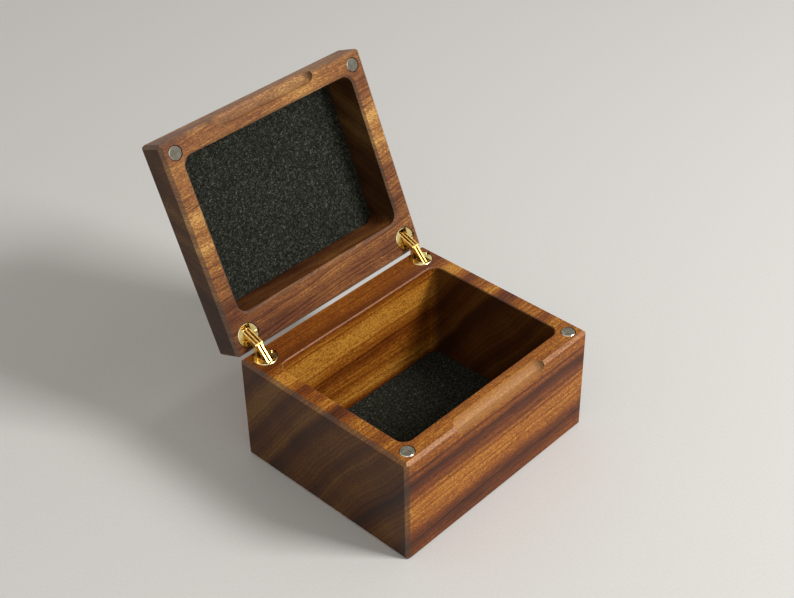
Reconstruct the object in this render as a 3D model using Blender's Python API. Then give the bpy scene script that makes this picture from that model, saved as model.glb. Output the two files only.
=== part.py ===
# Wooden deck box: a milled walnut base and lid, felt pads, four magnets and two brass barrel hinges.
# Metres, +Z up. The origin is the middle of the base's underside, +X runs to the right along the front,
# and the front faces -Y. The lid stands open, resting on the end stop of its hinges.
import math

import bmesh
import bpy
from mathutils import Matrix, Vector

MM = 0.001

# What the box holds: playing cards on their long edge
CARD_WIDTH = 88 * MM
CARD_HEIGHT = 63 * MM
CARD_SIDE_ROOM = 2.2 * MM
CARD_HEAD_ROOM = 0.5 * MM
CARD_RISE = 16.7 * MM
DECK_LENGTH = 68.5 * MM

# Walls of the base and the lid
SIDE_WALL = 7.8 * MM
LID_SIDE_WALL = 8.6 * MM
FRONT_WALL = 8.5 * MM
BACK_WALL = 14.5 * MM
LID_BACK_WALL = 15.4 * MM
BASE_FLOOR = 2.5 * MM
LID_TOP = 2.5 * MM
LID_BEVEL_RUN = 6.5 * MM
SHUT_GAP = 0.3 * MM
OPEN_ANGLE = math.radians(112.7)

# Edges, corners and the finger cove
EDGE_CHAMFER = 1.4 * MM
FOOT_CHAMFER = 1 * MM
POCKET_RADIUS = 4.5 * MM
BASE_POCKET_CHAMFER = 0.4 * MM
LID_POCKET_CHAMFER = 1 * MM
COVE_RADIUS = 4.4 * MM
COVE_LENGTH = 53 * MM
COVE_OUTSET = 0.1 * MM

# Felt pads and magnets
FELT_THICKNESS = 1 * MM
FELT_BEVEL = 0.2 * MM
FELT_GAP = 0.2 * MM
MAGNET_RADIUS = 3 * MM
MAGNET_HEIGHT = 3 * MM
MAGNET_BEVEL = 0.3 * MM
MAGNET_SIDE_INSET = 6.1 * MM
MAGNET_FRONT_INSET = 5.4 * MM
PRESS_GAP = 0.2 * MM

# Brass barrels of the hinges, with the slot that their leaves fold into
BARREL_RADIUS = 5 * MM
BARREL_LENGTH = 12 * MM
BARREL_BEVEL = 0.2 * MM
HINGE_SIDE_INSET = 8.1 * MM
HINGE_BACK_INSET = 6.7 * MM
SLOT_BACK_INSET = 2.2 * MM
SLOT_FRONT_INSET = 11.25 * MM
SLOT_STEP_INSET = 7.2 * MM
SLOT_SHALLOW = 4.2 * MM
SLOT_DEEP = 9.6 * MM
SLOT_RADIUS = 0.5 * MM
SLOT_GAP = 0.2 * MM
GROOVE_DEPTH = 0.5 * MM

# Locking screws, and the dimple that marks the other side of each barrel
SCREW_RADIUS = 1 * MM
SCREW_LENGTH = 4 * MM
SCREW_OFFSET = 4.5 * MM
SCREW_SINK = 0.6 * MM
DRIVER_SLOT_WIDTH = 0.4 * MM
DRIVER_SLOT_DEPTH = 0.5 * MM
DIMPLE_RADIUS = 0.6 * MM
DIMPLE_DEPTH = 0.7 * MM
DIMPLE_OFFSET = 3.4 * MM
DIMPLE_BACK_OFFSET = 1.2 * MM

# Leaves and pins of the hinges
PIVOT_INSET = 3.2 * MM
PIVOT_DEPTH = 3 * MM
ELBOW_REACH = 5.6 * MM
TAIL_INSET = 8.8 * MM
TAIL_DEPTH = 1.6 * MM
LEAF_THICKNESS = 0.6 * MM
LEAF_SPACING = 0.8 * MM
LEAF_HALF_WIDTH = 0.8 * MM
BASE_LEAF_ROWS = (-2, 0, 2)
LID_LEAF_ROWS = (-1, 1)
PIN_RADIUS = 0.4 * MM
PIN_GAP = 0.1 * MM
PIN_SEAT = 0.9 * MM
TAIL_PIN_SEAT = 0.3 * MM

# How far a cutter runs past what it cuts
OVERRUN = 2 * MM

ROUND_STEPS = 36
PIN_STEPS = 12
CORNER_STEPS = 6
SLOT_CORNER_STEPS = 3
END_STEPS = 6
PATH_STEPS = 8
SMOOTH_ANGLE = math.radians(30)

BOX_WIDTH = CARD_WIDTH + 2 * (CARD_SIDE_ROOM + SIDE_WALL)
BOX_DEPTH = FRONT_WALL + DECK_LENGTH + BACK_WALL
FELT_LIFT = FELT_GAP + FELT_THICKNESS
BASE_POCKET = CARD_HEIGHT - CARD_RISE + FELT_LIFT
BASE_HEIGHT = BASE_POCKET + BASE_FLOOR
LID_POCKET = CARD_RISE - SHUT_GAP + CARD_HEAD_ROOM + FELT_LIFT
LID_HEIGHT = LID_POCKET + LID_TOP
# The bevel starts beyond the ends of the barrels
LID_SIDE_HEIGHT = BARREL_LENGTH
MAGNET_X = BOX_WIDTH / 2 - MAGNET_SIDE_INSET
HINGE_X = BOX_WIDTH / 2 - HINGE_SIDE_INSET
STACK_HALF = max(BASE_LEAF_ROWS) * LEAF_SPACING + LEAF_THICKNESS / 2
SLOT_HALF = STACK_HALF + SLOT_GAP

# The base reaches down from the rim and the lid reaches up from it
BASE = -1
LID = 1
HANDS = {"left": -1, "right": 1}

HALVES = {
    "base": {
        "side": BASE,
        "height": BASE_HEIGHT,
        "far_run": FOOT_CHAMFER,
        "far_rise": FOOT_CHAMFER,
        "pocket": BASE_POCKET,
        "pocket_chamfer": BASE_POCKET_CHAMFER,
        "side_wall": SIDE_WALL,
        "back_wall": BACK_WALL,
    },
    "lid": {
        "side": LID,
        "height": LID_HEIGHT,
        "far_run": LID_BEVEL_RUN,
        "far_rise": LID_HEIGHT - LID_SIDE_HEIGHT,
        "pocket": LID_POCKET,
        "pocket_chamfer": LID_POCKET_CHAMFER,
        "side_wall": LID_SIDE_WALL,
        "back_wall": LID_BACK_WALL,
    },
}

MATERIALS = {
    "walnut": ((0.230, 0.080, 0.030), 0.45, 0.0),
    "felt": ((0.045, 0.050, 0.045), 0.95, 0.0),
    "brass": ((0.800, 0.560, 0.200), 0.22, 1.0),
    "nickel": ((0.720, 0.710, 0.680), 0.20, 1.0),
}


# Scene, materials and objects
def clear_scene():
    for item in list(bpy.data.objects):
        bpy.data.objects.remove(item, do_unlink=True)


def give_material(item, finish):
    colour, roughness, metallic = MATERIALS[finish]
    made = bpy.data.materials.new(item.name + "_" + finish)
    made.use_nodes = True
    shader = made.node_tree.nodes["Principled BSDF"]
    shader.inputs["Base Color"].default_value = (*colour, 1.0)
    shader.inputs["Roughness"].default_value = roughness
    shader.inputs["Metallic"].default_value = metallic
    item.data.materials.append(made)


def object_from(name, bm):
    """Turns a bmesh into an object with outward faces and smooth round sides."""
    bmesh.ops.recalc_face_normals(bm, faces=bm.faces[:])
    mesh = bpy.data.meshes.new(name)
    bm.to_mesh(mesh)
    bm.free()
    mesh.shade_smooth()
    mesh.set_sharp_from_angle(angle=SMOOTH_ANGLE)
    made = bpy.data.objects.new(name, mesh)
    bpy.context.collection.objects.link(made)
    return made


def cut(body, cutter):
    cutter.hide_render = True
    cutter.display_type = "WIRE"
    boolean = body.modifiers.new(cutter.name, "BOOLEAN")
    boolean.operation = "DIFFERENCE"
    boolean.solver = "EXACT"
    boolean.object = cutter


def in_space(point):
    """A point of the Y and Z plane as a point in space."""
    return Vector((0, point.x, point.y))


class Frame:
    """An empty on a body's joint axis. Its shapes are drawn from the back edge of the rim."""

    def __init__(self, name, place, back_edge, turn=0):
        self.empty = bpy.data.objects.new(name, None)
        self.empty.location = place
        self.empty.rotation_euler = (turn, 0, 0)
        bpy.context.collection.objects.link(self.empty)
        self.back_edge = back_edge

    def hang(self, item, x=0):
        item.parent = self.empty
        item.location = self.back_edge + Vector((x, 0, 0))
        return item

    def finish(self, item, finish, x=0):
        give_material(item, finish)
        return self.hang(item, x)


# Outlines and solids
def arc(centre, radius, start, sweep, steps):
    """Points round part of a circle, both ends included."""
    first, second = centre
    angles = [start + sweep * step / steps for step in range(steps + 1)]
    return [(first + radius * math.cos(angle), second + radius * math.sin(angle)) for angle in angles]


def circle(centre, radius, steps):
    return arc(centre, radius, 0, math.tau, steps)[:-1]


def rounded_rectangle(half_x, low_y, high_y, radius, steps, grow=0):
    """A rectangle with round corners, in X and Y, moved outwards by grow."""
    near, far, side = low_y + radius, high_y - radius, half_x - radius
    points = []
    for quarter, centre in enumerate(((side, far), (-side, far), (-side, near), (side, near))):
        points += arc(centre, radius + grow, quarter * math.pi / 2, math.pi / 2, steps)
    return points


def wall(bm, low, high):
    """Faces between two rings of as many points."""
    for corners in zip(low, low[1:] + low[:1], high[1:] + high[:1], high):
        bm.faces.new(corners)


def loft(name, sections):
    """Joins outlines in X and Y, each at its own Z, into a closed solid."""
    bm = bmesh.new()
    rings = [[bm.verts.new((x, y, z)) for x, y in outline] for z, outline in sections]
    for low, high in zip(rings, rings[1:]):
        wall(bm, low, high)
    bm.faces.new(rings[0])
    bm.faces.new(rings[-1])
    return object_from(name, bm)


def plate(name, outline, low_x, high_x, holes=()):
    """An outline in Y and Z, with holes, given a thickness along X."""
    bm = bmesh.new()
    sides = []
    for x in (low_x, high_x):
        rings = [[bm.verts.new((x, y, z)) for y, z in loop] for loop in (outline, *holes)]
        edges = [bm.edges.new(pair) for ring in rings for pair in zip(ring, ring[1:] + ring[:1])]
        bmesh.ops.triangle_fill(bm, use_beauty=True, edges=edges)
        sides.append(rings)
    for low, high in zip(*sides):
        wall(bm, low, high)
    return object_from(name, bm)


def ball_ended_rod(name, centre, radius, length):
    """A rod along X with a half ball at each end."""
    bm = bmesh.new()
    y, z = centre
    straight = length / 2 - radius
    quarter = [math.pi / 2 * step / END_STEPS for step in range(1, END_STEPS + 1)]
    profile = [(-straight - radius * math.cos(angle), radius * math.sin(angle)) for angle in quarter]
    profile += [(-x, reach) for x, reach in reversed(profile)]
    rings = [[bm.verts.new((x, *point)) for point in circle(centre, reach, ROUND_STEPS)] for x, reach in profile]
    for low, high in zip(rings, rings[1:]):
        wall(bm, low, high)
    for end, ring in ((-length / 2, rings[0]), (length / 2, rings[-1])):
        tip = bm.verts.new((end, y, z))
        for pair in zip(ring, ring[1:] + ring[:1]):
            bm.faces.new((tip, *pair))
    return object_from(name, bm)


def upright_rod(name, side, centre, radius, low, high, bevel=0, steps=ROUND_STEPS):
    """A round rod between two distances from the rim, bevelled at the end nearer the rim."""
    sections = [(side * low, circle(centre, radius - bevel, steps))]
    if bevel:
        sections.append((side * (low + bevel), circle(centre, radius, steps)))
    sections.append((side * high, circle(centre, radius, steps)))
    return loft(name, sections)


def slice_off(bm, point, normal):
    """Cuts away what lies beyond a plane and closes the cut."""
    geometry = bm.verts[:] + bm.edges[:] + bm.faces[:]
    found = bmesh.ops.bisect_plane(bm, geom=geometry, plane_co=point, plane_no=normal, clear_outer=True)
    edges = [item for item in found["geom_cut"] if isinstance(item, bmesh.types.BMEdge)]
    bmesh.ops.holes_fill(bm, edges=edges)


# Hinge geometry in the Y and Z plane of one hinge, measured from the shared back edge of the open rims.
# With the lid open, the two halves are mirror images in the fold, a line from that edge through the elbow pin.
FOLD = Vector((-math.cos(OPEN_ANGLE / 2), math.sin(OPEN_ANGLE / 2)))
BASE_PIVOT = Vector((-PIVOT_INSET, -PIVOT_DEPTH))
BASE_TAIL = Vector((-TAIL_INSET, -TAIL_DEPTH))
ELBOW = FOLD * ELBOW_REACH


def mirrored(point):
    return 2 * point.dot(FOLD) * FOLD - point


def turned(vector, angle):
    return Vector(
        (
            vector.x * math.cos(angle) - vector.y * math.sin(angle),
            vector.x * math.sin(angle) + vector.y * math.cos(angle),
        )
    )


def heading(vector):
    return math.atan2(vector.y, vector.x)


def leaf_turn():
    """How far the base leaves turn from open to shut, which puts the elbow in the middle of the gap."""
    rise = SHUT_GAP / 2 + PIVOT_DEPTH
    reach = math.sqrt((ELBOW - BASE_PIVOT).length_squared - rise**2)
    return heading(Vector((-reach, rise))) - heading(ELBOW - BASE_PIVOT)


def tail_path():
    """Where the tail pin runs in the base's barrel, from open to shut."""
    path = []
    for step in range(PATH_STEPS + 1):
        shut = step / PATH_STEPS
        elbow = BASE_PIVOT + turned(ELBOW - BASE_PIVOT, shut * leaf_turn())
        path.append(elbow + turned(BASE_TAIL - ELBOW, shut * (OPEN_ANGLE - leaf_turn())))
    return path


def groove_outline():
    """A band round the tail pin's path, with round ends."""
    path = tail_path()
    radius = PIN_RADIUS + PIN_GAP
    courses = [heading(after - before) for before, after in zip(path[:1] + path, path[1:] + path[-1:])]
    left = [point + turned(Vector((radius, 0)), course + math.pi / 2) for point, course in zip(path, courses)]
    right = [point + turned(Vector((radius, 0)), course - math.pi / 2) for point, course in zip(path, courses)]
    start = arc(path[0], radius, courses[0] + math.pi / 2, math.pi, END_STEPS)
    finish = arc(path[-1], radius, courses[-1] - math.pi / 2, math.pi, END_STEPS)
    return start + [tuple(point) for point in right[1:-1]] + finish + [tuple(point) for point in left[-2:0:-1]]


def leaf_outline(pivot, elbow, tail):
    """A strip of even width with round ends, bent at the elbow."""
    first, second = elbow - pivot, tail - elbow
    turn = math.copysign(math.pi / 2, first.x * second.y - first.y * second.x)
    bend = math.copysign(first.angle(second), turn)
    points = arc(pivot, LEAF_HALF_WIDTH, heading(first) + turn, 2 * turn, PIN_STEPS)
    points += arc(elbow, LEAF_HALF_WIDTH, heading(first) - turn, bend, END_STEPS)
    points += arc(tail, LEAF_HALF_WIDTH, heading(second) - turn, 2 * turn, PIN_STEPS)
    inner = turned(first.normalized(), turn) + turned(second.normalized(), turn)
    points.append(tuple(elbow + inner * LEAF_HALF_WIDTH / (1 + math.cos(bend))))
    return points


# Wooden halves, with their felt and magnets
def wooden_block(name, side, height, far_run, far_rise):
    """A block from the rim to its far face, with a chamfer on every edge."""
    bm = bmesh.new()
    middle = Vector((0, -BOX_DEPTH / 2, 0))
    away = Vector((0, 0, side))
    size = Matrix.Diagonal((BOX_WIDTH, BOX_DEPTH, height, 1))
    bmesh.ops.create_cube(bm, size=1, matrix=Matrix.Translation(middle + away * height / 2) @ size)
    for axis, reach in ((Vector((1, 0, 0)), BOX_WIDTH / 2), (Vector((0, 1, 0)), BOX_DEPTH / 2)):
        for out in (axis, -axis):
            slice_off(bm, middle + out * (reach - EDGE_CHAMFER), out - away)
            slice_off(bm, middle + away * height + out * (reach - far_run), out * far_rise + away * far_run)
    for x in (-1, 1):
        for y in (-1, 1):
            edge = Vector((x * (BOX_WIDTH / 2 - EDGE_CHAMFER), y * BOX_DEPTH / 2, 0))
            slice_off(bm, middle + edge, Vector((x, y, 0)))
    return object_from(name, bm)


def pocket_outline(half, inset=0, grow=0):
    return rounded_rectangle(
        BOX_WIDTH / 2 - half["side_wall"] - inset,
        inset + FRONT_WALL - BOX_DEPTH,
        -half["back_wall"] - inset,
        POCKET_RADIUS - inset,
        CORNER_STEPS,
        grow,
    )


def pocket_cutter(name, half):
    """The pocket, flared at the rim to chamfer its edge."""
    side, chamfer = half["side"], half["pocket_chamfer"]
    sections = [
        (side * half["pocket"], pocket_outline(half)),
        (side * chamfer, pocket_outline(half)),
        (-side * OVERRUN, pocket_outline(half, grow=chamfer + OVERRUN)),
    ]
    return loft(name, sections)


def felt_pad(name, half):
    side, far = half["side"], half["pocket"] - FELT_GAP
    near = half["pocket"] - FELT_LIFT
    sections = [
        (side * far, pocket_outline(half, inset=FELT_GAP)),
        (side * (near + FELT_BEVEL), pocket_outline(half, inset=FELT_GAP)),
        (side * near, pocket_outline(half, inset=FELT_GAP + FELT_BEVEL)),
    ]
    return loft(name, sections)


def build_magnet(frame, body, half, hand):
    side, x = HALVES[half]["side"], HANDS[hand] * MAGNET_X
    name = f"{half}_magnet_{hand}"
    centre = (0, MAGNET_FRONT_INSET - BOX_DEPTH)
    magnet = upright_rod(name, side, centre, MAGNET_RADIUS, 0, MAGNET_HEIGHT, MAGNET_BEVEL)
    frame.finish(magnet, "nickel", x)
    hole = upright_rod(name + "_hole", side, centre, MAGNET_RADIUS + PRESS_GAP, -OVERRUN, MAGNET_HEIGHT + PRESS_GAP)
    cut(body, frame.hang(hole, x))


def build_half(frame, name):
    half = HALVES[name]
    side = half["side"]
    body = wooden_block(name + "_body", side, half["height"], half["far_run"], half["far_rise"])
    frame.finish(body, "walnut")
    cut(body, frame.hang(pocket_cutter(name + "_pocket_cutter", half)))
    cove_axis = (-BOX_DEPTH - COVE_OUTSET, -side * SHUT_GAP / 2)
    cut(body, frame.hang(ball_ended_rod(name + "_cove_cutter", cove_axis, COVE_RADIUS, COVE_LENGTH)))
    frame.finish(felt_pad(name + "_felt", half), "felt")
    for hand in HANDS:
        build_barrel(frame, body, name, hand)
        build_magnet(frame, body, name, hand)


# Hinges
def slot_cutter(name, side, front_inset, back_inset, depth):
    outline = rounded_rectangle(SLOT_HALF, -front_inset, -back_inset, SLOT_RADIUS, SLOT_CORNER_STEPS)
    return loft(name, [(-side * OVERRUN, outline), (side * depth, outline)])


def side_on(side, outline):
    """An outline drawn for the base, turned over for the lid."""
    return [(y, -side * z) for y, z in outline]


def build_barrel(frame, body, half, hand):
    """A barrel pressed into the wood, with its pivot pin and locking screw."""
    side, x = HALVES[half]["side"], HANDS[hand] * HINGE_X
    name = f"{half}_barrel_{hand}"
    centre = (0, -HINGE_BACK_INSET)
    barrel = upright_rod(name, side, centre, BARREL_RADIUS, 0, BARREL_LENGTH, BARREL_BEVEL)
    frame.finish(barrel, "brass", x)
    bore = upright_rod(name + "_bore", side, centre, BARREL_RADIUS + PRESS_GAP, -OVERRUN, BARREL_LENGTH + PRESS_GAP)
    cut(body, frame.hang(bore, x))
    cut(barrel, frame.hang(slot_cutter(name + "_slot", side, SLOT_FRONT_INSET, SLOT_BACK_INSET, SLOT_SHALLOW), x))
    cut(barrel, frame.hang(slot_cutter(name + "_deep_slot", side, SLOT_FRONT_INSET, SLOT_STEP_INSET, SLOT_DEEP), x))

    groove_half = SLOT_HALF + GROOVE_DEPTH
    groove = plate(name + "_groove", side_on(side, groove_outline()), -groove_half, groove_half)
    cut(barrel, frame.hang(groove, x))

    pivot = (-PIVOT_INSET, side * PIVOT_DEPTH)
    pin_half = SLOT_HALF + PIN_SEAT
    pin = plate(f"{half}_pivot_pin_{hand}", circle(pivot, PIN_RADIUS, PIN_STEPS), -pin_half, pin_half)
    frame.finish(pin, "brass", x)
    pin_hole = circle(pivot, PIN_RADIUS + PIN_GAP, PIN_STEPS)
    cut(barrel, frame.hang(plate(name + "_pin_hole", pin_hole, -BARREL_RADIUS, BARREL_RADIUS), x))

    seat = (SCREW_OFFSET, -HINGE_BACK_INSET)
    depth = SCREW_SINK + SCREW_LENGTH
    screw = upright_rod(f"{half}_screw_{hand}", side, seat, SCREW_RADIUS, SCREW_SINK, depth)
    frame.finish(screw, "brass", x)
    length, width = SCREW_RADIUS + OVERRUN, DRIVER_SLOT_WIDTH / 2
    driver = [(SCREW_OFFSET + a * length, b * width - HINGE_BACK_INSET) for a, b in ((1, 1), (-1, 1), (-1, -1), (1, -1))]
    sink = SCREW_SINK + DRIVER_SLOT_DEPTH
    cut(screw, frame.hang(loft(screw.name + "_driver_slot", [(-side * OVERRUN, driver), (side * sink, driver)]), x))
    notch = upright_rod(screw.name + "_notch", side, seat, SCREW_RADIUS + PRESS_GAP, -OVERRUN, depth + PRESS_GAP)
    cut(barrel, frame.hang(notch, x))
    cut(body, notch)

    mark = (-DIMPLE_OFFSET, DIMPLE_BACK_OFFSET - HINGE_BACK_INSET)
    dimple = upright_rod(name + "_dimple", side, mark, DIMPLE_RADIUS, -OVERRUN, DIMPLE_DEPTH, steps=PIN_STEPS)
    cut(barrel, frame.hang(dimple, x))


def build_leaves(frame, name, hand, rows, pivot, tail):
    """One hinge's leaves on one half, with the pin at their tail."""
    joints = (pivot, ELBOW, tail)
    outline = leaf_outline(*joints)
    holes = [circle(joint, PIN_RADIUS + PIN_GAP, PIN_STEPS) for joint in joints]
    for number, row in enumerate(rows, 1):
        middle = row * LEAF_SPACING
        low, high = middle - LEAF_THICKNESS / 2, middle + LEAF_THICKNESS / 2
        frame.finish(plate(f"{name}_leaf_{hand}_{number}", outline, low, high, holes), "brass")
    half = SLOT_HALF + TAIL_PIN_SEAT
    frame.finish(plate(f"{name}_tail_pin_{hand}", circle(tail, PIN_RADIUS, PIN_STEPS), -half, half), "brass")


def build_hinge(rim_edge, hand):
    """The leaves between two barrels: the base leaves pivot in the base and slide in the lid, and the lid leaves mirror them."""
    edge = rim_edge + Vector((HANDS[hand] * HINGE_X, 0, 0))
    base_leaves = Frame("base_leaves_" + hand, edge + in_space(BASE_PIVOT), -in_space(BASE_PIVOT))
    lid_leaves = Frame("lid_leaves_" + hand, edge + in_space(ELBOW), -in_space(ELBOW))
    build_leaves(base_leaves, "base", hand, BASE_LEAF_ROWS, BASE_PIVOT, mirrored(BASE_TAIL))
    build_leaves(lid_leaves, "lid", hand, LID_LEAF_ROWS, mirrored(BASE_PIVOT), BASE_TAIL)
    pin = circle(ELBOW, PIN_RADIUS, PIN_STEPS)
    base_leaves.finish(plate("elbow_pin_" + hand, pin, -STACK_HALF, STACK_HALF), "brass")


def build():
    clear_scene()
    rim_edge = Vector((0, BOX_DEPTH / 2, BASE_HEIGHT))
    base = Frame("base", rim_edge, Vector((0, 0, 0)))
    lid_back_edge = Vector((0, PIVOT_INSET, -PIVOT_DEPTH))
    lid = Frame("lid", rim_edge + in_space(mirrored(BASE_PIVOT)), lid_back_edge, -OPEN_ANGLE)
    build_half(base, "base")
    build_half(lid, "lid")
    for hand in HANDS:
        build_hinge(rim_edge, hand)


build()
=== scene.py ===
import math
import random

import bpy
from mathutils import Matrix, Vector, noise


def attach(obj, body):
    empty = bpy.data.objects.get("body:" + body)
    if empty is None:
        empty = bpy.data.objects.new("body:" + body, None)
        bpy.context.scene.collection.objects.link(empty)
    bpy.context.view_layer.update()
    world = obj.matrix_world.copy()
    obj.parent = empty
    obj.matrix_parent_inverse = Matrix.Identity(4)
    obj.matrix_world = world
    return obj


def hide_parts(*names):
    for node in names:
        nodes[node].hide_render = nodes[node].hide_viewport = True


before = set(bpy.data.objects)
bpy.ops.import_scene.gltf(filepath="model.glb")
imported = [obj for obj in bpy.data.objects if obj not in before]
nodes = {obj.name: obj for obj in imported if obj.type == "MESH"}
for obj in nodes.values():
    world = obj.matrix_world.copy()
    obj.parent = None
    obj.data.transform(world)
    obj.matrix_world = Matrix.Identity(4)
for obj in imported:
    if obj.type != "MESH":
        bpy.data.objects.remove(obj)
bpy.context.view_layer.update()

mm = 0.001

# the rims meet at the back edge of the base, and the lid is turned back about that edge
box = {"backEdge": (0, 45.75 * mm, 50 * mm), "openAngle": math.radians(112.7)}
baseFrame = Matrix.Translation(box["backEdge"])
lidFrame = Matrix.Translation(box["backEdge"]) @ Matrix.Rotation(-box["openAngle"], 4, "X")
lidPlace = {"place": box["backEdge"], "turn": (-box["openAngle"], 0, 0)}
basePlace = {"place": box["backEdge"], "turn": (0, 0, 0)}


def colour(code):
    values = [int(code[i : i + 2], 16) / 255 for i in (1, 3, 5)]
    return [v / 12.92 if v <= 0.04045 else ((v + 0.055) / 1.055) ** 2.4 for v in values] + [1]


def addNode(tree, kind, settings=None, inputs=None):
    made = tree.nodes.new(kind)
    for name, value in (settings or {}).items():
        setattr(made, name, value)
    for name, value in (inputs or {}).items():
        if isinstance(value, bpy.types.NodeSocket):
            tree.links.new(value, made.inputs[name])
        else:
            made.inputs[name].default_value = value
    return made


def rampStops(ramp, stops):
    elements = ramp.color_ramp.elements
    while len(elements) < len(stops):
        elements.new(0.5)
    for element, (place, tone) in zip(elements, stops):
        element.position = place
        element.color = colour(tone) if isinstance(tone, str) else (tone, tone, tone, 1)
    return ramp.outputs["Color"]


def newMaterial(name):
    material = bpy.data.materials.new(name)
    material.use_nodes = True
    tree = material.node_tree
    tree.nodes.clear()
    surface = addNode(tree, "ShaderNodeBsdfPrincipled")
    addNode(tree, "ShaderNodeOutputMaterial", None, {"Surface": surface.outputs[0]})
    return material, tree, surface


# camera, where the photo was taken from
camera = {
    "place": (-0.3299, -0.3098, 0.4124),
    "azimuth": math.radians(-45.93),
    "elevation": math.radians(36.86),
    "roll": math.radians(-1.22),
    "lens": 65.24,
    "sensor": 36,
    "nearest": 10 * mm,
}
azimuth, elevation = camera["azimuth"], camera["elevation"]
ahead = Vector(
    (
        -math.sin(azimuth) * math.cos(elevation),
        math.cos(azimuth) * math.cos(elevation),
        -math.sin(elevation),
    )
)
level = ahead.cross((0, 0, 1)).normalized()
across = level * math.cos(camera["roll"]) + level.cross(ahead) * math.sin(camera["roll"])
upward = across.cross(ahead)
cameraData = bpy.data.cameras.new("camera")
cameraData.lens = camera["lens"]
cameraData.sensor_width = camera["sensor"]
cameraData.clip_start = camera["nearest"]
cameraObject = bpy.data.objects.new("camera", cameraData)
turn = Matrix((across, upward, -ahead)).transposed().to_4x4()
cameraObject.matrix_world = Matrix.Translation(camera["place"]) @ turn
bpy.context.scene.collection.objects.link(cameraObject)
bpy.context.scene.camera = cameraObject
print("camera ready")

# lights: one soft key from the front right, as in the photo, and a weak fill from the left
lights = {
    "key": {"place": (0.5, -0.95, 0.85), "size": 0.4, "watts": 15},
    "fill": {"place": (-0.9, -0.7, 1.0), "size": 0.9, "watts": 1.5},
}
aim = Vector((0, 0, 50 * mm))
for name, light in lights.items():
    data = bpy.data.lights.new(name, "AREA")
    data.size = light["size"]
    data.energy = light["watts"]
    lamp = bpy.data.objects.new(name, data)
    towards = (aim - Vector(light["place"])).to_track_quat("-Z", "Y")
    lamp.matrix_world = Matrix.Translation(light["place"]) @ towards.to_matrix().to_4x4()
    bpy.context.scene.collection.objects.link(lamp)

# a pale room: it lights the box weakly, and is nearly white where the camera, the metal or clear things show it
sky = {"light": "#fffdf8", "strength": 0.38, "seen": "#f1f0ed"}
world = bpy.data.worlds.new("studio")
world.use_nodes = True
bpy.context.scene.world = world
tree = world.node_tree
tree.nodes.clear()
rays = addNode(tree, "ShaderNodeLightPath").outputs
direct = addNode(
    tree, "ShaderNodeMath", {"operation": "MAXIMUM"}, {0: rays["Is Camera Ray"], 1: rays["Is Glossy Ray"]}
)
seen = addNode(
    tree, "ShaderNodeMath", {"operation": "MAXIMUM"}, {0: direct.outputs[0], 1: rays["Is Transmission Ray"]}
)
lighting = addNode(
    tree, "ShaderNodeBackground", None, {"Color": colour(sky["light"]), "Strength": sky["strength"]}
)
backdrop = addNode(tree, "ShaderNodeBackground", None, {"Color": colour(sky["seen"]), "Strength": 1})
both = addNode(
    tree, "ShaderNodeMixShader", None, {0: seen.outputs[0], 1: lighting.outputs[0], 2: backdrop.outputs[0]}
)
addNode(tree, "ShaderNodeOutputWorld", None, {"Surface": both.outputs[0]})
bpy.context.scene.view_settings.view_transform = "Standard"
print("lights ready")


# floor: matt card, smooth to the eye, with a faint tooth about 1 mm across
def mattCard(name, card):
    material, tree, surface = newMaterial(name)
    spot = addNode(tree, "ShaderNodeTexCoord").outputs["Object"]
    tooth = addNode(tree, "ShaderNodeTexNoise", None, {"Vector": spot, "Scale": card["tooth"], "Detail": 3})
    tone = addNode(tree, "ShaderNodeValToRGB", None, {"Fac": tooth.outputs["Fac"]})
    tree.links.new(rampStops(tone, card["tones"]), surface.inputs["Base Color"])
    surface.inputs["Roughness"].default_value = card["rough"]
    surface.inputs["Specular IOR Level"].default_value = card["gloss"]
    return material


paleCard = {"size": 6, "tooth": 900, "tones": [(0.3, "#dddbd7"), (0.7, "#e2e0dc")], "rough": 0.9, "gloss": 0.2}
bpy.ops.object.select_all(action="DESELECT")
bpy.ops.mesh.primitive_plane_add(size=paleCard["size"], location=(0, 0, 0))
floor = bpy.context.object
floor.name = "floor"
floor.data.materials.append(mattCard("mattCard", paleCard))


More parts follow.
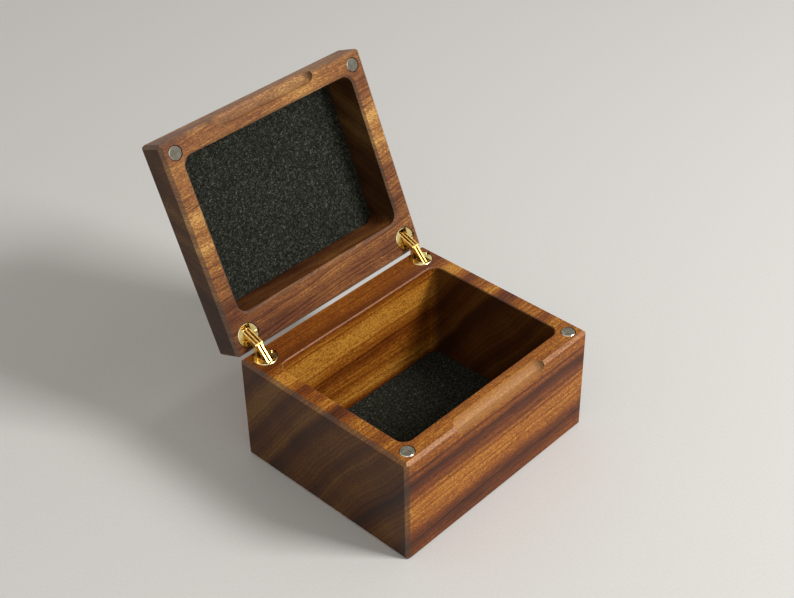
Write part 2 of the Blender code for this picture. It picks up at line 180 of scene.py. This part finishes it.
# walnut, milled and oiled: satin, with brown bands along X, golden flecks, dark open pores, darker end grain
# that is partly painted shade, and a painted sheen on the chamfers
def walnut(name, wood):
    material, tree, surface = newMaterial(name)
    spot = addNode(tree, "ShaderNodeTexCoord").outputs
    block = addNode(
        tree,
        "ShaderNodeMapping",
        {"vector_type": "TEXTURE"},
        {"Vector": spot["Object"], "Location": wood["place"], "Rotation": wood["turn"]},
    ).outputs[0]
    facing = addNode(
        tree,
        "ShaderNodeMapping",
        {"vector_type": "TEXTURE"},
        {"Vector": spot["Normal"], "Rotation": wood["turn"]},
    ).outputs[0]

    # growth layers run along X and are pushed about by slow waves along the board
    slow = addNode(tree, "ShaderNodeMapping", None, {"Vector": block, "Scale": wood["waves"]}).outputs[0]
    wave = addNode(
        tree, "ShaderNodeTexNoise", None, {"Vector": slow, "Scale": 1, "Detail": 2, "Roughness": 0.45}
    ).outputs["Color"]
    centred = addNode(tree, "ShaderNodeVectorMath", {"operation": "SUBTRACT"}, {0: wave, 1: (0.5, 0.5, 0.5)})
    push = addNode(
        tree, "ShaderNodeVectorMath", {"operation": "SCALE"}, {0: centred.outputs[0], "Scale": wood["push"]}
    ).outputs[0]
    pushed = addNode(tree, "ShaderNodeVectorMath", {"operation": "ADD"}, {0: block, 1: push}).outputs[0]
    layer = addNode(
        tree, "ShaderNodeVectorMath", {"operation": "DOT_PRODUCT"}, {0: pushed, 1: wood["across"]}
    ).outputs["Value"]

    # the bands that the photo shows, given as (mm through the layers, how light)
    bands = wood["bands"]
    start, end = bands[0][0], bands[-1][0]
    place = addNode(
        tree, "ShaderNodeMapRange", None, {"Value": layer, 1: start * mm, 2: end * mm, 3: 0, 4: 1}
    ).outputs[0]
    bandRamp = addNode(tree, "ShaderNodeValToRGB", None, {"Fac": place})
    band = rampStops(bandRamp, [((depth - start) / (end - start), tone) for depth, tone in bands])
    streakPlace = addNode(tree, "ShaderNodeMath", {"operation": "MULTIPLY"}, {0: layer, 1: 1 / wood["streak"]})
    streak = addNode(
        tree,
        "ShaderNodeTexNoise",
        {"noise_dimensions": "1D"},
        {"W": streakPlace.outputs[0], "Scale": 1, "Detail": 3, "Roughness": 0.6},
    ).outputs["Fac"]
    patchSpot = addNode(tree, "ShaderNodeMapping", None, {"Vector": block, "Scale": wood["patches"]}).outputs[0]
    patch = addNode(
        tree, "ShaderNodeTexNoise", None, {"Vector": patchSpot, "Scale": 1, "Detail": 3, "Roughness": 0.55}
    ).outputs["Fac"]
    fleckSpot = addNode(tree, "ShaderNodeMapping", None, {"Vector": pushed, "Scale": wood["flecks"]}).outputs[0]
    fleck = addNode(
        tree, "ShaderNodeTexNoise", None, {"Vector": fleckSpot, "Scale": 1, "Detail": 2, "Roughness": 0.7}
    ).outputs["Fac"]
    fibreSpot = addNode(tree, "ShaderNodeMapping", None, {"Vector": pushed, "Scale": wood["fibres"]}).outputs[0]
    fibre = addNode(
        tree, "ShaderNodeTexNoise", None, {"Vector": fibreSpot, "Scale": 1, "Detail": 2, "Roughness": 0.6}
    ).outputs["Fac"]
    # thin dark lines close each year's growth
    linePlace = addNode(tree, "ShaderNodeMath", {"operation": "MULTIPLY"}, {0: layer, 1: 1 / wood["line"]})
    lines = addNode(
        tree,
        "ShaderNodeTexNoise",
        {"noise_dimensions": "1D"},
        {"W": linePlace.outputs[0], "Scale": 1, "Detail": 1},
    ).outputs["Fac"]
    offLine = addNode(tree, "ShaderNodeMath", {"operation": "SUBTRACT"}, {0: lines, 1: 0.5}).outputs[0]
    nearLine = addNode(tree, "ShaderNodeMath", {"operation": "ABSOLUTE"}, {0: offLine}).outputs[0]
    darkLine = addNode(
        tree,
        "ShaderNodeMapRange",
        None,
        {"Value": nearLine, 1: 0, 2: wood["lineWidth"], 3: -wood["lineDepth"], 4: 0},
    ).outputs[0]
    tone = addNode(tree, "ShaderNodeMath", {"operation": "ADD"}, {0: band, 1: darkLine}).outputs[0]
    for pattern, share in ((streak, wood["streaks"]), (patch, wood["patch"]), (fibre, wood["fibre"])):
        part = addNode(
            tree, "ShaderNodeMath", {"operation": "MULTIPLY_ADD"}, {0: pattern, 1: share, 2: -share / 2}
        )
        tone = addNode(tree, "ShaderNodeMath", {"operation": "ADD"}, {0: tone, 1: part.outputs[0]}).outputs[0]
    # flecks show most where the wood is light
    bright = addNode(tree, "ShaderNodeMath", {"operation": "MULTIPLY"}, {0: tone, 1: wood["sparkle"]})
    fleckPart = addNode(tree, "ShaderNodeMath", {"operation": "SUBTRACT"}, {0: fleck, 1: 0.5})
    flecked = addNode(
        tree,
        "ShaderNodeMath",
        {"operation": "MULTIPLY_ADD"},
        {0: fleckPart.outputs[0], 1: bright.outputs[0], 2: tone},
    )
    ramp = addNode(tree, "ShaderNodeValToRGB", None, {"Fac": flecked.outputs[0]})
    heart = rampStops(ramp, wood["tones"])

    # open pores: dark dashes 4 mm long, dots on the end grain; real ones are 0.1 mm wide, these 0.3 mm, to show
    poreSpot = addNode(tree, "ShaderNodeMapping", None, {"Vector": pushed, "Scale": wood["dashes"]}).outputs[0]
    pore = addNode(
        tree, "ShaderNodeTexNoise", None, {"Vector": poreSpot, "Scale": 1, "Detail": 1.5, "Roughness": 0.5}
    ).outputs["Fac"]
    shut, opened = wood["poreRange"]
    poreAmount = addNode(
        tree, "ShaderNodeMapRange", None, {"Value": pore, 1: shut, 2: opened, 3: 0, 4: wood["pores"]}
    ).outputs[0]
    pored = addNode(
        tree,
        "ShaderNodeMix",
        {"data_type": "RGBA", "blend_type": "MULTIPLY"},
        {0: poreAmount, 6: heart, 7: colour(wood["pore"])},
    ).outputs[2]

    # end grain drinks more oil, so it is darker, cooler and plainer; part of this darkening is painted shade,
    # taken as deep as an unlit side of the box
    parts = addNode(tree, "ShaderNodeSeparateXYZ", None, {0: facing}).outputs
    ends = addNode(tree, "ShaderNodeMath", {"operation": "ABSOLUTE"}, {0: parts["X"]}).outputs[0]
    sideways, endways = wood["endRange"]
    endGrainShadeAmount = addNode(
        tree, "ShaderNodeMapRange", None, {"Value": ends, 1: sideways, 2: endways, 3: 0, 4: wood["endGrainAndShade"]}
    ).outputs[0]
    endGrainShaded = addNode(
        tree, "ShaderNodeMix", {"data_type": "RGBA"}, {0: endGrainShadeAmount, 6: pored, 7: colour(wood["end"])}
    ).outputs[2]

    # edges are broken by hand, and the chamfers, which look along no single axis, get a painted sheen that
    # makes them a little lighter and greyer; the pocket's round corners, upright and inside the box, do not
    deep = addNode(tree, "ShaderNodeMath", {"operation": "ABSOLUTE"}, {0: parts["Y"]}).outputs[0]
    high = addNode(tree, "ShaderNodeMath", {"operation": "ABSOLUTE"}, {0: parts["Z"]}).outputs[0]
    flat = addNode(tree, "ShaderNodeMath", {"operation": "MAXIMUM"}, {0: ends, 1: deep}).outputs[0]
    flatter = addNode(tree, "ShaderNodeMath", {"operation": "MAXIMUM"}, {0: flat, 1: high}).outputs[0]
    square, broken = wood["chamferRange"]
    slantingSheen = addNode(
        tree, "ShaderNodeMapRange", None, {"Value": flatter, 1: square, 2: broken, 3: 0, 4: wood["chamferSheen"]}
    ).outputs[0]
    mirrored = addNode(tree, "ShaderNodeVectorMath", {"operation": "ABSOLUTE"}, {0: block}).outputs[0]
    along = addNode(tree, "ShaderNodeSeparateXYZ", None, {0: mirrored}).outputs["X"]
    walls, ending = wood["outside"]
    outside = addNode(tree, "ShaderNodeMapRange", None, {"Value": along, 1: walls, 2: ending, 3: 0, 4: 1})
    upright, leaning = wood["tiltRange"]
    tilted = addNode(tree, "ShaderNodeMapRange", None, {"Value": high, 1: upright, 2: leaning, 3: 0, 4: 1})
    cut = addNode(
        tree, "ShaderNodeMath", {"operation": "MAXIMUM"}, {0: outside.outputs[0], 1: tilted.outputs[0]}
    )
    chamferSheenAmount = addNode(
        tree, "ShaderNodeMath", {"operation": "MULTIPLY"}, {0: slantingSheen, 1: cut.outputs[0]}
    ).outputs[0]
    chamferSheened = addNode(
        tree,
        "ShaderNodeMix",
        {"data_type": "RGBA", "blend_type": "SCREEN"},
        {0: chamferSheenAmount, 6: endGrainShaded, 7: colour(wood["edge"])},
    ).outputs[2]

    # the finger cove is cut last and sanded less: paler and duller than the rim round it
    beyond = addNode(tree, "ShaderNodeMath", {"operation": "SUBTRACT"}, {0: along, 1: cove["half"]}).outputs[0]
    past = addNode(tree, "ShaderNodeMath", {"operation": "MAXIMUM"}, {0: beyond, 1: 0}).outputs[0]
    spread = addNode(tree, "ShaderNodeSeparateXYZ", None, {0: block}).outputs
    away = addNode(
        tree, "ShaderNodeMath", {"operation": "SUBTRACT"}, {0: spread["Y"], 1: cove["axis"]}
    ).outputs[0]
    reach = addNode(tree, "ShaderNodeCombineXYZ", None, {"X": past, "Y": away, "Z": spread["Z"]}).outputs[0]
    fromAxis = addNode(tree, "ShaderNodeVectorMath", {"operation": "LENGTH"}, {0: reach}).outputs["Value"]
    coveAmount = addNode(
        tree,
        "ShaderNodeMapRange",
        None,
        {"Value": fromAxis, 1: cove["beyond"], 2: cove["reach"], 3: 0, 4: wood["cove"]},
    ).outputs[0]
    coved = addNode(
        tree, "ShaderNodeMix", {"data_type": "RGBA"}, {0: coveAmount, 6: chamferSheened, 7: colour(cove["tone"])}
    ).outputs[2]
    tree.links.new(coved, surface.inputs["Base Color"])

    # satin oil: pores stay open and duller, and dent the surface
    dull, satin = wood["rough"]
    rough = addNode(
        tree, "ShaderNodeMapRange", None, {"Value": fibre, 1: 0.3, 2: 0.7, 3: dull, 4: satin}
    ).outputs[0]
    roughPores = addNode(
        tree, "ShaderNodeMath", {"operation": "MULTIPLY_ADD"}, {0: poreAmount, 1: wood["roughPore"], 2: rough}
    ).outputs[0]
    roughCove = addNode(
        tree,
        "ShaderNodeMath",
        {"operation": "MULTIPLY_ADD"},
        {0: coveAmount, 1: wood["roughCove"], 2: roughPores},
    )
    tree.links.new(roughCove.outputs[0], surface.inputs["Roughness"])
    relief = addNode(
        tree, "ShaderNodeMath", {"operation": "MULTIPLY_ADD"}, {0: poreAmount, 1: -1, 2: fibre}
    ).outputs[0]
    dent = addNode(
        tree,
        "ShaderNodeBump",
        None,
        {"Strength": wood["dent"], "Distance": wood["dentDepth"], "Height": relief},
    )
    tree.links.new(dent.outputs[0], surface.inputs["Normal"])
    surface.inputs["IOR"].default_value = wood["ior"]
    surface.inputs["Specular IOR Level"].default_value = wood["gloss"]
    return material


# the cove is a groove of 4.4 mm radius with round ends, measured from the shared back edge of the rims
cove = {
    "half": 22.1 * mm,
    "axis": -91.6 * mm,
    "reach": 4.4 * mm + 0.1 * mm,
    "beyond": 4.4 * mm + 0.3 * mm,
    "tone": "#a97e50",
}
walnutBase = {
    **basePlace,
    "waves": (9, 24, 24),
    "push": 7 * mm,
    "across": (0, 0.8, 0.6),
    "bands": [
        (-103.2, 0.35),
        (-100.2, 0.42),
        (-98.4, 0.16),
        (-96.6, 0.32),
        (-94.8, 0.55),
        (-91, 0.75),
        (-86.2, 0.74),
        (-84, 0.46),
        (-80.4, 0.08),
        (-78.6, 0.42),
        (-75, 0.66),
        (-70.2, 0.74),
        (-65.4, 0.55),
        (-63, 0.78),
        (-58.2, 0.42),
        (-55.8, 0.7),
        (-51, 0.72),
        (-46.2, 0.64),
        (-41.4, 0.24),
        (-39, 0.36),
        (-36.6, 0.92),
        (-31.8, 0.55),
        (-29.4, 0.68),
        (-27, 0.38),
        (-22.2, 0.8),
        (-17.4, 1.05),
        (-12.6, 0.55),
        (-10.2, 0.42),
        (-4.6, 0.55),
        (0, 0.6),
    ],
    "streak": 1.1 * mm,
    "streaks": 0.5,
    "line": 1.8 * mm,
    "lineWidth": 0.035,
    "lineDepth": 0.22,
    "patches": (16, 55, 55),
    "patch": 0.5,
    "flecks": (950, 2000, 2000),  # 1 mm long and 0.5 mm wide, coarse enough to show
    "sparkle": 2,
    "fibres": (110, 1300, 1300),  # 9 mm long and 0.8 mm wide
    "fibre": 0.3,
    "tones": [(0, "#321204"), (0.25, "#582808"), (0.5, "#7e410f"), (0.75, "#a5631b"), (1, "#cb8f38")],
    "dashes": (240, 3000, 3000),
    "poreRange": (0.57, 0.72),
    "pores": 0.6,
    "pore": "#52290f",
    "endRange": (0.45, 0.95),
    # darker end grain: partly real, partly painted shade
    "endGrainAndShade": 0.75,
    "end": "#261b12",
    "chamferRange": (0.98, 0.8),
    "outside": (50 * mm, 51 * mm),
    "tiltRange": (0.2, 0.3),
    # painted sheen on the chamfers: how much, and its grey tone
    "chamferSheen": 0.35,
    "edge": "#625f56",
    "cove": 0.45,
    "rough": (0.46, 0.46 - 0.08),
    "roughPore": 0.2,
    "roughCove": 0.3,
    "dent": 0.35,
    "dentDepth": 0.04 * mm,
    "ior": 1.47,
    "gloss": 0.22,
}
walnutLid = {
    **walnutBase,
    **lidPlace,
    "waves": (13, 28, 28),
    "push": 10 * mm,
    "streak": 0.9 * mm,
    "patches": (24, 45, 45),
    "patch": 1.0,
    "cove": 0.08,
    "across": (0.05, 0.8, 0.6),
    "bands": [
        (-73.2, 0.5),
        (-67.2, 0.6),
        (-60, 0.5),
        (-55.2, 0.55),
        (-50.4, 0.68),
        (-48, 0.9),
        (-45.6, 0.65),
        (-43.2, 0.52),
        (-40.8, 0.65),
        (-38.4, 0.85),
        (-36, 0.6),
        (-31.2, 0.5),
        (-28.8, 0.42),
        (-24, 0.6),
        (-19.2, 0.3),
        (-16.8, 0.25),
        (-14.4, 0.42),
        (-9.6, 0.5),
        (-6.4, 0.32),
        (0, 0.45),
        (6, 0.6),
        (12.4, 0.4),
    ],
    "tones": [(0, "#39190b"), (0.25, "#5b3018"), (0.5, "#804e27"), (0.75, "#a36f38"), (1, "#cb9c56")],
}


# felt: pressed wool fibres, charcoal with grey-green specks about 0.6 mm across, matt and fuzzy
def woolFelt(name, felt):
    material, tree, surface = newMaterial(name)
    spot = addNode(tree, "ShaderNodeTexCoord").outputs["Object"]
    clump = addNode(
        tree,
        "ShaderNodeTexNoise",
        None,
        {"Vector": spot, "Scale": felt["clump"], "Detail": 2, "Roughness": 0.6},
    ).outputs["Fac"]
    curl = addNode(
        tree, "ShaderNodeTexNoise", None, {"Vector": spot, "Scale": felt["curl"], "Detail": 1}
    ).outputs["Color"]
    bend = addNode(
        tree, "ShaderNodeVectorMath", {"operation": "SCALE"}, {0: curl, "Scale": felt["bend"]}
    ).outputs[0]
    bent = addNode(tree, "ShaderNodeVectorMath", {"operation": "ADD"}, {0: spot, 1: bend}).outputs[0]
    fibre = addNode(
        tree,
        "ShaderNodeTexNoise",
        None,
        {"Vector": bent, "Scale": felt["fibre"], "Detail": 2, "Roughness": 0.7},
    ).outputs["Fac"]
    mixed = addNode(
        tree, "ShaderNodeMath", {"operation": "MULTIPLY_ADD"}, {0: clump, 1: felt["clumps"], 2: fibre}
    )
    ramp = addNode(tree, "ShaderNodeValToRGB", None, {"Fac": mixed.outputs[0]})
    tree.links.new(rampStops(ramp, felt["tones"]), surface.inputs["Base Color"])
    dent = addNode(
        tree, "ShaderNodeBump", None, {"Strength": felt["dent"], "Distance": felt["dentDepth"], "Height": fibre}
    )
    tree.links.new(dent.outputs[0], surface.inputs["Normal"])
    surface.inputs["Roughness"].default_value = felt["rough"]
    surface.inputs["Specular IOR Level"].default_value = felt["gloss"]
    surface.inputs["Sheen Weight"].default_value = felt["sheen"]
    surface.inputs["Sheen Roughness"].default_value = felt["sheenRough"]
    surface.inputs["Sheen Tint"].default_value = colour(felt["sheenTone"])
    return material


pressedWool = {
    "clump": 850,  # 1.2 mm
    "clumps": 0.4,
    "fibre": 1800,  # 0.6 mm; real fibres are far finer, and these are as coarse as they need to show
    "curl": 500,
    "bend": 4 * mm,
    "tones": [(0.5, "#090908"), (0.66, "#151613"), (0.78, "#292b24"), (0.92, "#646759")],
    "dent": 0.9,
    "dentDepth": 0.12 * mm,
    "rough": 0.95,
    "gloss": 0.1,
    "sheen": 0.15,
    "sheenRough": 0.6,
    "sheenTone": "#8a8c7c",
}
looseWool = {**pressedWool, "tones": [(0.5, "#2e302a"), (0.7, "#4c4f45"), (0.9, "#7d8072")]}


# turned metal: rings of the lathe round each axis, then a polish that leaves cloudy wear; the bright ring at
# the rim is a painted highlight
def turnedMetal(name, metal):
    material, tree, surface = newMaterial(name)
    spot = addNode(tree, "ShaderNodeTexCoord").outputs["Object"]
    block = addNode(
        tree,
        "ShaderNodeMapping",
        {"vector_type": "TEXTURE"},
        {"Vector": spot, "Location": metal["place"], "Rotation": metal["turn"]},
    ).outputs[0]
    # both hands share one pattern, mirrored at the middle of the box
    mirror = addNode(tree, "ShaderNodeVectorMath", {"operation": "ABSOLUTE"}, {0: block}).outputs[0]
    centred = addNode(
        tree, "ShaderNodeVectorMath", {"operation": "SUBTRACT"}, {0: mirror, 1: metal["axis"]}
    ).outputs[0]
    across = addNode(
        tree, "ShaderNodeVectorMath", {"operation": "MULTIPLY"}, {0: centred, 1: (1, 1, 0)}
    ).outputs[0]
    radius = addNode(tree, "ShaderNodeVectorMath", {"operation": "LENGTH"}, {0: across}).outputs["Value"]
    ringPlace = addNode(tree, "ShaderNodeMath", {"operation": "MULTIPLY"}, {0: radius, 1: 1 / metal["ring"]})
    ring = addNode(
        tree,
        "ShaderNodeTexNoise",
        {"noise_dimensions": "1D"},
        {"W": ringPlace.outputs[0], "Scale": 1, "Detail": 2},
    ).outputs["Fac"]
    wear = addNode(
        tree,
        "ShaderNodeTexNoise",
        None,
        {"Vector": spot, "Scale": metal["wear"], "Detail": 4, "Roughness": 0.6},
    ).outputs["Fac"]
    ramp = addNode(tree, "ShaderNodeValToRGB", None, {"Fac": wear})
    face = rampStops(ramp, metal["tones"])
    # painted highlight: a bright ring at the rim of each barrel and magnet face
    inner, outer = metal["rim"]
    rimHighlightAmount = addNode(
        tree, "ShaderNodeMapRange", None, {"Value": radius, 1: inner, 2: outer, 3: 0, 4: metal["rimHighlightShare"]}
    ).outputs[0]
    rimHighlighted = addNode(
        tree, "ShaderNodeMix", {"data_type": "RGBA"}, {0: rimHighlightAmount, 6: face, 7: colour(metal["rimHighlightTone"])}
    ).outputs[2]
    tree.links.new(rimHighlighted, surface.inputs["Base Color"])
    dull, bright = metal["rough"]
    rough = addNode(tree, "ShaderNodeMapRange", None, {"Value": wear, 1: 0.3, 2: 0.7, 3: dull, 4: bright})
    tree.links.new(rough.outputs[0], surface.inputs["Roughness"])
    relief = addNode(
        tree, "ShaderNodeMath", {"operation": "MULTIPLY_ADD"}, {0: ring, 1: metal["rings"], 2: wear}
    ).outputs[0]
    dent = addNode(
        tree,
        "ShaderNodeBump",
        None,
        {"Strength": metal["dent"], "Distance": metal["dentDepth"], "Height": relief},
    )
    tree.links.new(dent.outputs[0], surface.inputs["Normal"])
    surface.inputs["Metallic"].default_value = 1
    return material


brassBarrel = {
    "axis": (45.9 * mm, 6.7 * mm, 0),
    "ring": 0.22 * mm,
    "rings": 0.6,
    "wear": 650,  # 1.5 mm
    "tones": [(0.3, "#bfa560"), (0.6, "#dac78c")],
    # where the painted highlight ring lies on the barrel face, with its share and pale tone
    "rim": (4.9 * mm - 0.35 * mm, 4.9 * mm),
    "rimHighlightShare": 0.8,
    "rimHighlightTone": "#efe0ad",
    "rough": (0.28, 0.17),
    "dent": 0.4,
    "dentDepth": 0.03 * mm,
}
nickel = {
    **brassBarrel,
    "axis": (47.9 * mm, 86.1 * mm, 0),
    "ring": 0.3 * mm,
    "tones": [(0.3, "#5c594e"), (0.7, "#908c7e")],
    # where the painted highlight ring lies on the magnet face, with its pale tone
    "rim": (2.9 * mm - 0.35 * mm, 2.9 * mm),
    "rimHighlightTone": "#dedacd",
    "rough": (0.26, 0.14),
    "dent": 0.3,
}


# rolled and blanked metal: long marks of the rolls, rounded by tumbling
def rolledMetal(name, metal):
    material, tree, surface = newMaterial(name)
    spot = addNode(tree, "ShaderNodeTexCoord").outputs["Object"]
    long = addNode(tree, "ShaderNodeMapping", None, {"Vector": spot, "Scale": metal["marks"]}).outputs[0]
    marks = addNode(tree, "ShaderNodeTexNoise", None, {"Vector": long, "Scale": 1, "Detail": 3}).outputs["Fac"]
    wear = addNode(
        tree, "ShaderNodeTexNoise", None, {"Vector": spot, "Scale": metal["wear"], "Detail": 3}
    ).outputs["Fac"]
    ramp = addNode(tree, "ShaderNodeValToRGB", None, {"Fac": wear})
    tree.links.new(rampStops(ramp, metal["tones"]), surface.inputs["Base Color"])
    dull, bright = metal["rough"]
    rough = addNode(tree, "ShaderNodeMapRange", None, {"Value": marks, 1: 0.3, 2: 0.7, 3: dull, 4: bright})
    tree.links.new(rough.outputs[0], surface.inputs["Roughness"])
    dent = addNode(
        tree,
        "ShaderNodeBump",
        None,
        {"Strength": metal["dent"], "Distance": metal["dentDepth"], "Height": marks},
    )
    tree.links.new(dent.outputs[0], surface.inputs["Normal"])
    surface.inputs["Metallic"].default_value = 1
    return material


leafBrass = {
    "marks": (9000, 500, 500),  # 2 mm long
    "wear": 700,  # 1.4 mm
    "tones": [(0.3, "#e0ac4c"), (0.7, "#f5d488")],
    "rough": (0.36, 0.26),
    "dent": 0.3,
    "dentDepth": 0.02 * mm,
}
pinBrass = {
    **leafBrass,
    "marks": (500, 6000, 6000),
    "tones": [(0.3, "#b58c45"), (0.7, "#d9b873")],
    "rough": (0.3, 0.2),
}

finishes = {
    "base_body": walnut("oiledWalnutBase", walnutBase),
    "lid_body": walnut("oiledWalnutLid", walnutLid),
    "base_barrel": turnedMetal("turnedBrassBase", {**brassBarrel, **basePlace}),
    "lid_barrel": turnedMetal("turnedBrassLid", {**brassBarrel, **lidPlace}),
    "base_magnet": turnedMetal("platedNickelBase", {**nickel, **basePlace}),
    "lid_magnet": turnedMetal("platedNickelLid", {**nickel, **lidPlace}),
    "base_leaf": rolledMetal("blankedLeafBrass", leafBrass),
    "pin": rolledMetal("drawnPinBrass", pinBrass),
}
finishes["lid_leaf"] = finishes["base_leaf"]
finishes["base_screw"] = finishes["base_barrel"]
finishes["lid_screw"] = finishes["lid_barrel"]
for part in ("base_pivot_pin", "lid_pivot_pin", "base_tail_pin", "lid_tail_pin", "elbow_pin"):
    finishes[part] = finishes["pin"]
for name, node in nodes.items():
    for part, material in finishes.items():
        if name.startswith(part):
            for index in range(len(node.data.materials)):
                node.data.materials[index] = material
            if not node.data.materials:
                node.data.materials.append(material)
print("finishes ready")

# felt pads, cut from one sheet and glued to the pocket floors
feltSheet = {
    "corner": 4.3 * mm,
    "corners": 8,
    "cell": 2.2 * mm,
    "join": 0.02 * mm,
    "settle": 0.18 * mm,  # down to the pocket floor
    "wave": 0.08 * mm,
    "waves": 70,  # 14 mm apart
    "sag": 0.3,
    "apart": 900,  # the two pads take their waves from different places
    "round": 0.3 * mm,
    "sharper": math.radians(50),
    "nap": 0.07 * mm,
    "naps": 1400,  # 0.7 mm apart
    "napDepth": -0.3 * mm,
}


def cutFelt(name, node, block, facing, sheet):
    spots = [block.inverted() @ vertex.co for vertex in nodes[node].data.vertices]
    low = Vector([min(spot[axis] for spot in spots) for axis in range(3)])
    high = Vector([max(spot[axis] for spot in spots) for axis in range(3)])
    width, length, thick = high - low
    thick += sheet["settle"]
    bpy.ops.object.select_all(action="DESELECT")
    bpy.ops.mesh.primitive_plane_add(size=1)
    felt = bpy.context.object
    felt.name = name
    bpy.ops.object.mode_set(mode="EDIT")
    bpy.ops.mesh.select_all(action="SELECT")
    bpy.ops.transform.resize(value=(width, length, 1))
    bpy.ops.mesh.bevel(offset=sheet["corner"], segments=sheet["corners"], affect="VERTICES")
    for axis, size in ((0, width), (1, length)):
        cells = round(size / sheet["cell"])
        for step in range(1, cells):
            place, along = [0, 0, 0], [0, 0, 0]
            place[axis] = size * (step / cells - 0.5)
            along[axis] = 1
            bpy.ops.mesh.select_all(action="SELECT")
            bpy.ops.mesh.bisect(plane_co=place, plane_no=along)
    bpy.ops.mesh.select_all(action="SELECT")
    bpy.ops.mesh.remove_doubles(threshold=sheet["join"])
    bpy.ops.object.mode_set(mode="OBJECT")
    shift = Vector((width, 0, 0)) * sheet["apart"]
    for vertex in felt.data.vertices:
        vertex.co.z = sheet["wave"] * (noise.noise(vertex.co * sheet["waves"] + shift) - sheet["sag"])
    body = felt.modifiers.new("thickness", "SOLIDIFY")
    body.thickness = thick
    body.offset = -1
    edge = felt.modifiers.new("edge", "BEVEL")
    edge.width = sheet["round"]
    edge.segments = 2
    edge.limit_method = "ANGLE"
    edge.angle_limit = sheet["sharper"]
    finer = felt.modifiers.new("finer", "SUBSURF")
    finer.subdivision_type = "SIMPLE"
    finer.levels = finer.render_levels = 2
    for modifier in list(felt.modifiers):
        bpy.ops.object.modifier_apply(modifier=modifier.name)
    outward = [vertex.normal.copy() for vertex in felt.data.vertices]
    for vertex, normal in zip(felt.data.vertices, outward):
        if vertex.co.z > sheet["napDepth"]:
            vertex.co += normal * sheet["nap"] * (noise.noise(vertex.co * sheet["naps"]) - 0.5)
    bpy.ops.object.shade_smooth()
    middle = (low + high) / 2
    middle.z = high.z if facing > 0 else low.z
    turn = Matrix.Identity(4) if facing > 0 else Matrix.Rotation(math.pi, 4, "X")
    place = block @ Matrix.Translation(middle) @ turn
    felt.data.transform(place)
    felt.data.update()
    return felt, (width, length), place


# loose wool fibres lie on the sheet: one is modelled, and its copies are turned and bent each their own way
looseFibre = {
    "thick": 0.09 * mm,
    "long": 1.5 * mm,
    "bends": (-0.2, 0.2),
    "every": 3.2 * mm * mm,
    "edge": 1.2 * mm,
    "bow": 0.25 * mm,
    "lift": 0.02 * mm,
    "stretch": (0.5, 1.2),
}


def modelFibre(fibre):
    bpy.ops.object.select_all(action="DESELECT")
    bpy.ops.mesh.primitive_cylinder_add(
        vertices=3, radius=fibre["thick"] / 2, depth=fibre["long"], rotation=(0, math.pi / 2, 0)
    )
    one = bpy.context.object
    bpy.ops.object.transform_apply(rotation=True)
    bpy.ops.object.mode_set(mode="EDIT")
    for share in fibre["bends"]:
        bpy.ops.mesh.select_all(action="SELECT")
        bpy.ops.mesh.bisect(plane_co=(share * fibre["long"], 0, 0), plane_no=(1, 0, 0))
    bpy.ops.object.mode_set(mode="OBJECT")
    return one


def scatterFibres(name, size, place, fibre):
    one = modelFibre(fibre)
    corners = [vertex.co.copy() for vertex in one.data.vertices]
    sides = [list(face.vertices) for face in one.data.polygons]
    bpy.data.objects.remove(one)
    chance = random.Random(name)
    points, faces = [], []
    for _ in range(round(size[0] * size[1] / fibre["every"])):
        turn = chance.uniform(0, math.tau)
        x = chance.uniform(-0.5, 0.5) * (size[0] - 2 * fibre["edge"])
        y = chance.uniform(-0.5, 0.5) * (size[1] - 2 * fibre["edge"])
        bow = chance.uniform(-1, 1) * fibre["bow"]
        wave = chance.uniform(-1, 1) * fibre["bow"] / 2
        stretch = chance.uniform(*fibre["stretch"])
        first = len(points)
        for corner in corners:
            share = 2 * corner.x / fibre["long"]
            along = corner.x * stretch
            aside = corner.y + bow * share * share + wave * math.sin(3 * share)
            lift = corner.z + fibre["lift"] * math.cos(4 * share)
            spot = (
                x + along * math.cos(turn) - aside * math.sin(turn),
                y + along * math.sin(turn) + aside * math.cos(turn),
                lift,
            )
            points.append(place @ Vector(spot))
        faces.extend([[first + index for index in side] for side in sides])
    data = bpy.data.meshes.new(name)
    data.from_pydata(points, [], faces)
    data.update()
    fibres = bpy.data.objects.new(name, data)
    bpy.context.scene.collection.objects.link(fibres)
    return fibres


pads = {
    "lidFelt": {"node": "lid_felt", "body": "lid", "block": lidFrame, "facing": -1, "on": "lid_body"},
    "baseFelt": {"node": "base_felt", "body": "base", "block": baseFrame, "facing": 1, "on": "base_body"},
}
wool = woolFelt("pressedWoolFelt", pressedWool)
paleWool = woolFelt("looseWoolFibre", looseWool)
for name, pad in pads.items():
    felt, flat, place = cutFelt(name, pad["node"], pad["block"], pad["facing"], feltSheet)
    felt.data.materials.append(wool)
    fibres = scatterFibres(name + "Fibres", flat, place, looseFibre)
    fibres.data.materials.append(paleWool)
    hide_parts(pad["node"])
    for piece in (felt, fibres):
        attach(piece, pad["body"])
    print(name, "ready:", len(felt.data.polygons), "faces,", len(fibres.data.polygons), "faces of fibres")
